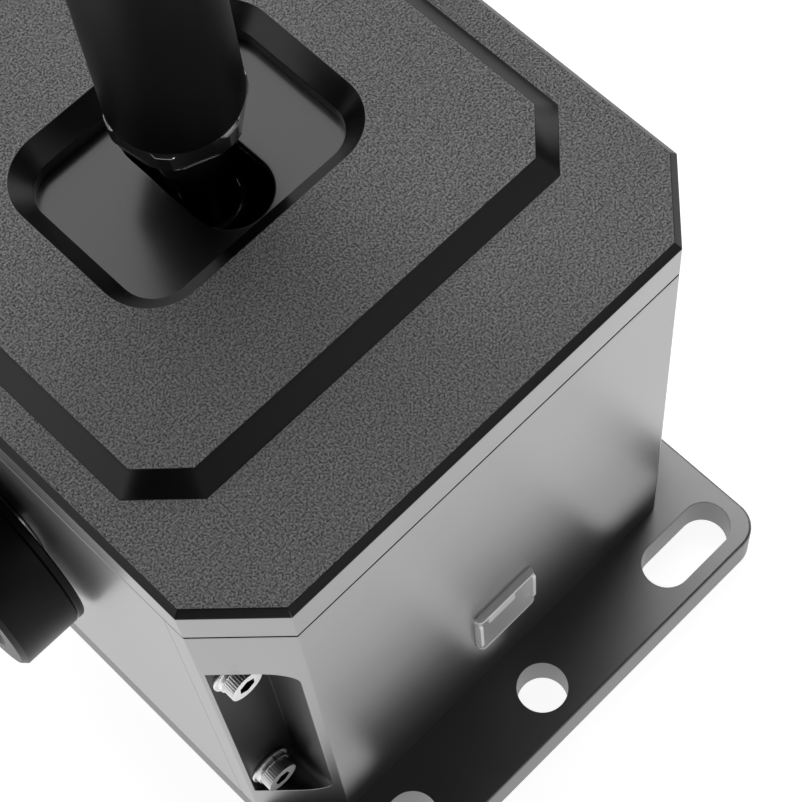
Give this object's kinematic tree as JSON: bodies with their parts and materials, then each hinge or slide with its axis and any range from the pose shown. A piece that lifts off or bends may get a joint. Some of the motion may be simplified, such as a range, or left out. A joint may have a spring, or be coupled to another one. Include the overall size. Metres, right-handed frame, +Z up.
{
  "type": "sim racing gear shifter",
  "caption": "Box-shaped sequential gear shifter with a flanged base, an upright lever with a round grip, a side knob for shift force and a rear computer socket.",
  "frame": {"origin": "centre of the base plate's fixing slots, on the underside that rests on the rig", "axes": "+Z up along the lever at rest; +Y away from the driver, towards the computer socket; +X to the driver's right, towards the force knob"},
  "size_m": [0.1072, 0.174, 0.2582],
  "materials": {
    "black_powder_coat": "fine textured powder coat",
    "black_anodised": "satin anodised",
    "black_satin_paint": "matte, bead blasted",
    "gloss_black_steel": "polished black",
    "grey_steel": "polished",
    "bright_steel": "bright",
    "black_steel": "black oxide",
    "bare_aluminium": "machined",
    "friction_lining": "matte",
    "plunger_plastic": "matte",
    "black_rubber": "matte",
    "board_green": "satin",
    "black_plastic": "matte",
    "socket_plastic": "satin"
  },
  "bodies": {
    "housing": {"axle_screw": "black_steel", "axle_spacer": "bare_aluminium", "base_plate": "black_satin_paint", "base_screws": "black_steel", "bearing_spacer": "bare_aluminium", "block_screws": "black_steel", "bracket_screws": "bright_steel", "corner_flat_washers": "bright_steel", "corner_screws": "bright_steel", "corner_spring_washers": "bright_steel", "damper_spring": "bright_steel", "front_plate": "black_anodised", "front_return_spring": "bright_steel", "front_spring_block": "bare_aluminium", "gate_plate": "black_anodised", "gate_plate_screws": "black_steel", "knob_bush": "bright_steel", "lead_plugs": "black_plastic", "left_panel": "black_anodised", "pivot_axle": "bright_steel", "pivot_bearing_balls": "bright_steel", "pivot_bearing_inner_races": "bright_steel", "pressure_plate": "bare_aluminium", "rear_plate": "black_anodised", "rear_return_spring": "bright_steel", "rear_spring_block": "bare_aluminium", "right_panel": "black_anodised", "sensor_board": "board_green", "sensor_bracket": "bright_steel", "sensor_chip": "black_plastic", "sensor_lead": "black_rubber", "stop_bumpers": "black_rubber", "stop_nuts": "black_steel", "stop_screws": "black_steel", "tie_bolts": "black_steel", "top_cover": "black_powder_coat", "usb_board": "board_green", "usb_board_screws": "bright_steel", "usb_board_spacers": "bright_steel", "usb_socket_shell": "bright_steel", "usb_socket_tongue": "socket_plastic"},
    "lever": {"lever_hub": "bare_aluminium", "hub_grub_screw": "black_steel", "lever_shaft": "gloss_black_steel", "lock_nut": "grey_steel", "grip": "black_satin_paint", "grip_cap": "black_satin_paint", "pivot_bearing_outer_races": "bright_steel", "friction_disc": "friction_lining", "sensor_magnet": "bright_steel"},
    "front_plunger": {"front_plunger": "plunger_plastic"},
    "rear_plunger": {"rear_plunger": "plunger_plastic"},
    "thrust_sleeve": {"thrust_sleeve": "bright_steel"},
    "force_knob": {"force_knob": "black_anodised"}
  },
  "joints": [
    {"name": "lever_tilt", "type": "hinge", "parent": "housing", "child": "lever", "pos_m": [-0.0013, 0.0115, 0.0558], "axis": [1, 0, 0], "range_deg": [-8, 8], "stiffness_Nm_per_rad": 20},
    {"name": "front_plunger_slide", "type": "slide", "parent": "housing", "child": "front_plunger", "axis": [0, 1, 0], "range_m": [-0.005, 0.005], "deforming": ["front_return_spring"]},
    {"name": "rear_plunger_slide", "type": "slide", "parent": "housing", "child": "rear_plunger", "axis": [0, 1, 0], "range_m": [-0.005, 0.005], "deforming": ["rear_return_spring"]},
    {"name": "knob_turn", "type": "hinge", "parent": "thrust_sleeve", "child": "force_knob", "pos_m": [0.05585, 0.0115, 0.0558], "axis": [1, 0, 0], "range_deg": [-360, 360]},
    {"name": "sleeve_slide", "type": "slide", "parent": "housing", "child": "thrust_sleeve", "axis": [1, 0, 0], "range_m": [-0.00125, 0.00125], "deforming": ["damper_spring"]}
  ],
  "couplings": [
    {"joint": "front_plunger_slide", "follows": "lever_tilt", "m_per_rad": 0.0308},
    {"joint": "rear_plunger_slide", "follows": "lever_tilt", "m_per_rad": 0.0308},
    {"joint": "knob_turn", "follows": "sleeve_slide", "rad_per_m": 5026.5}
  ]
}
